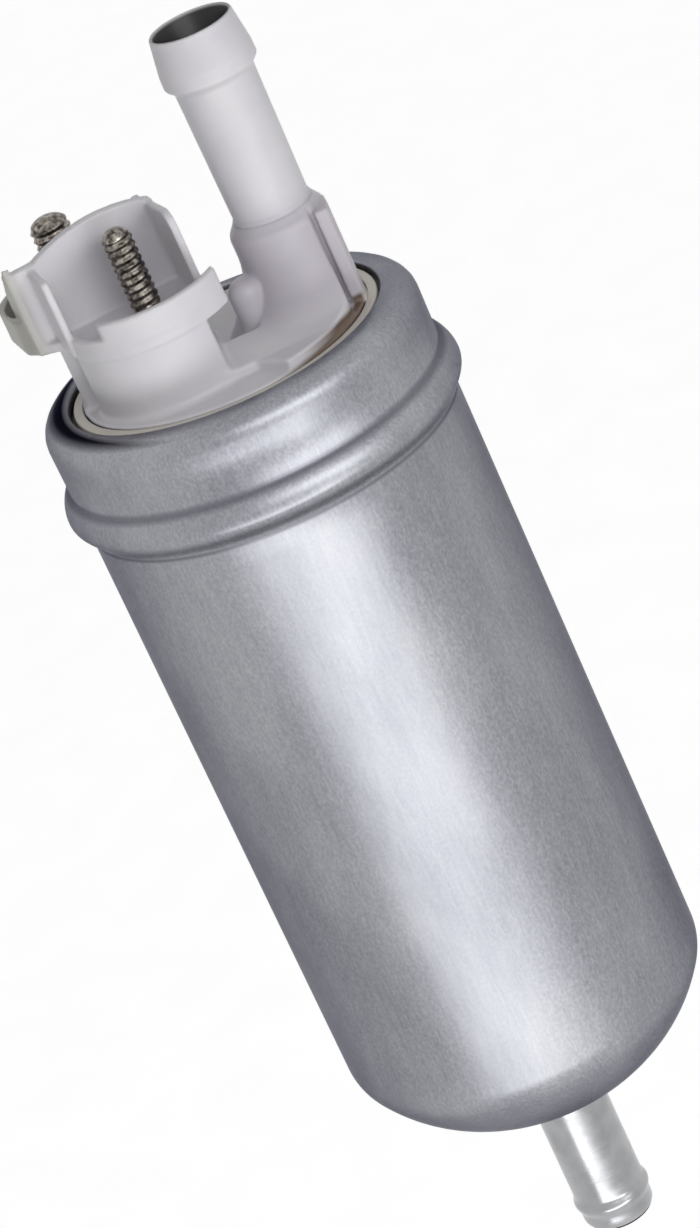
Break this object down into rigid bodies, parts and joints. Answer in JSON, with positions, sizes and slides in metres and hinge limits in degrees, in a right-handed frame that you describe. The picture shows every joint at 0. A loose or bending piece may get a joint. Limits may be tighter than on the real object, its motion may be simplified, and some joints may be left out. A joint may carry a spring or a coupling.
{
  "type": "in-line electric fuel pump",
  "caption": "In-line electric fuel pump: crimped metal can with a suction stub, white end cap with a hose nozzle and walled stud terminals, gerotor pump and brushed motor inside.",
  "frame": {"origin": "on the can's axis, in the middle of the clamp seat on its straight wall", "axes": "+Z along the can's axis towards the outlet nozzle, +X towards the nozzle's axis, and -Y towards the side that the picture shows"},
  "size_m": [0.0408, 0.0408, 0.1342],
  "materials": {
    "can_steel": "satin, drawn, zinc plated",
    "stub_steel": "bright plated tube",
    "braze": "bright fillet",
    "cap_plastic": "white acetal, smooth",
    "inner_plastic": "glass filled, dark",
    "bakelite": "moulded phenolic",
    "stud_steel": "nickel plated thread",
    "pump_metal": "ground faces",
    "rotor_steel": "ground, sintered",
    "core_steel": "stacked laminations",
    "flux_steel": "rolled strip",
    "shaft_steel": "ground",
    "spring_steel": "drawn wire",
    "copper": "bare copper",
    "bronze": "sintered bronze",
    "ferrite": "pressed ferrite, dark",
    "carbon": "copper carbon, dull",
    "rubber": "fuel proof rubber",
    "screen_steel": "perforated sheet"
  },
  "bodies": {
    "pump_body": {"housing_can": "can_steel", "inlet_stub": "stub_steel", "stub_braze": "braze", "inlet_screen": "screen_steel", "suction_plate": "pump_metal", "rotor_ring": "pump_metal", "discharge_plate": "pump_metal", "lower_bearing": "bronze", "relief_spring": "spring_steel", "flux_ring": "flux_steel", "magnet_right": "ferrite", "magnet_left": "ferrite", "magnet_clips": "spring_steel", "thrust_washer_lower": "inner_plastic", "thrust_washer_upper": "inner_plastic", "brush_carrier": "inner_plastic", "upper_bearing": "bronze", "brush_spring_left": "spring_steel", "brush_spring_right": "spring_steel", "end_cap": "cap_plastic", "cap_seal_ring": "rubber", "terminal_stud_near": "stud_steel", "terminal_strap_near": "copper", "terminal_stud_far": "stud_steel", "terminal_strap_far": "copper", "stud_seals": "rubber", "outlet_nozzle": "cap_plastic", "check_spring": "spring_steel"},
    "armature": {"armature_shaft": "shaft_steel", "armature_core": "core_steel", "armature_windings": "copper", "commutator": "copper", "commutator_hub": "bakelite", "armature_spacer": "inner_plastic", "inner_rotor": "rotor_steel"},
    "outer_rotor": {"outer_rotor": "rotor_steel"},
    "left_brush": {"brush_left": "carbon"},
    "right_brush": {"brush_right": "carbon"},
    "check_valve": {"check_poppet": "cap_plastic"},
    "relief_valve": {"relief_ball": "shaft_steel"}
  },
  "joints": [
    {"name": "armature_spin", "type": "hinge", "parent": "pump_body", "child": "armature", "pos_m": [0, 0, 0], "axis": [0, 0, 1], "continuous": true},
    {"name": "outer_rotor_spin", "type": "hinge", "parent": "pump_body", "child": "outer_rotor", "pos_m": [0.0008, 0, -0.0249], "axis": [0, 0, 1], "continuous": true},
    {"name": "brush_left_slide", "type": "slide", "parent": "pump_body", "child": "left_brush", "axis": [0, 0, 1], "range_m": [0, 0.002], "stiffness_N_per_m": 60, "springref_m": -0.004, "deforming": ["brush_spring_left"]},
    {"name": "brush_right_slide", "type": "slide", "parent": "pump_body", "child": "right_brush", "axis": [0, 0, 1], "range_m": [0, 0.002], "stiffness_N_per_m": 60, "springref_m": -0.004, "deforming": ["brush_spring_right"]},
    {"name": "check_valve_lift", "type": "slide", "parent": "pump_body", "child": "check_valve", "axis": [0, 0, 1], "range_m": [0, 0.0012], "stiffness_N_per_m": 20, "springref_m": -0.003, "deforming": ["check_spring"]},
    {"name": "relief_valve_open", "type": "slide", "parent": "pump_body", "child": "relief_valve", "axis": [0, 0, -1], "range_m": [0, 0.001], "stiffness_N_per_m": 20, "springref_m": -0.004, "deforming": ["relief_spring"]}
  ],
  "couplings": [
    {"joint": "outer_rotor_spin", "follows": "armature_spin", "ratio": 0.85714}
  ]
}
